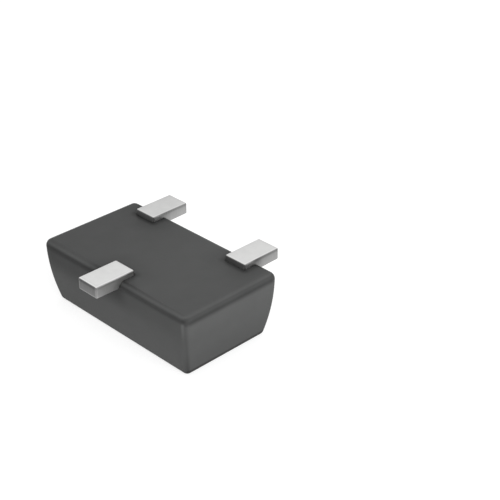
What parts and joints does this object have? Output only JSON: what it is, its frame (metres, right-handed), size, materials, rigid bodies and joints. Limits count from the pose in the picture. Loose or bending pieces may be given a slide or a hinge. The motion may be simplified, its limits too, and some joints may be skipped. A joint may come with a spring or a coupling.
{
  "type": "transistor",
  "caption": "Small surface-mount transistor: a moulded epoxy body lying on its marking face, with flat tinned leads along both long sides.",
  "frame": {"origin": "centre of the marking face, which the part lies on with its leads up", "axes": "+X along the body's length, +Y towards the side with the base and emitter leads, +Z from the marking face to the leads' solder faces"},
  "size_m": [0.0028, 0.0024, 0.001],
  "materials": {
    "moulded_epoxy": "fine satin off an eroded mould",
    "tinned_strip": "matte tin plate over stamped copper alloy",
    "die_solder": "reflowed solder",
    "silicon": "sawn edges and a polished face",
    "contact_metal": "deposited film",
    "bond_gold": "drawn gold wire"
  },
  "bodies": {
    "root": {"moulded_body": "moulded_epoxy", "collector_lead": "tinned_strip", "base_lead": "tinned_strip", "emitter_lead": "tinned_strip", "die_attach": "die_solder", "silicon_die": "silicon", "base_contact": "contact_metal", "emitter_contact": "contact_metal", "base_bond_wire": "bond_gold", "emitter_bond_wire": "bond_gold"}
  },
  "joints": []
}
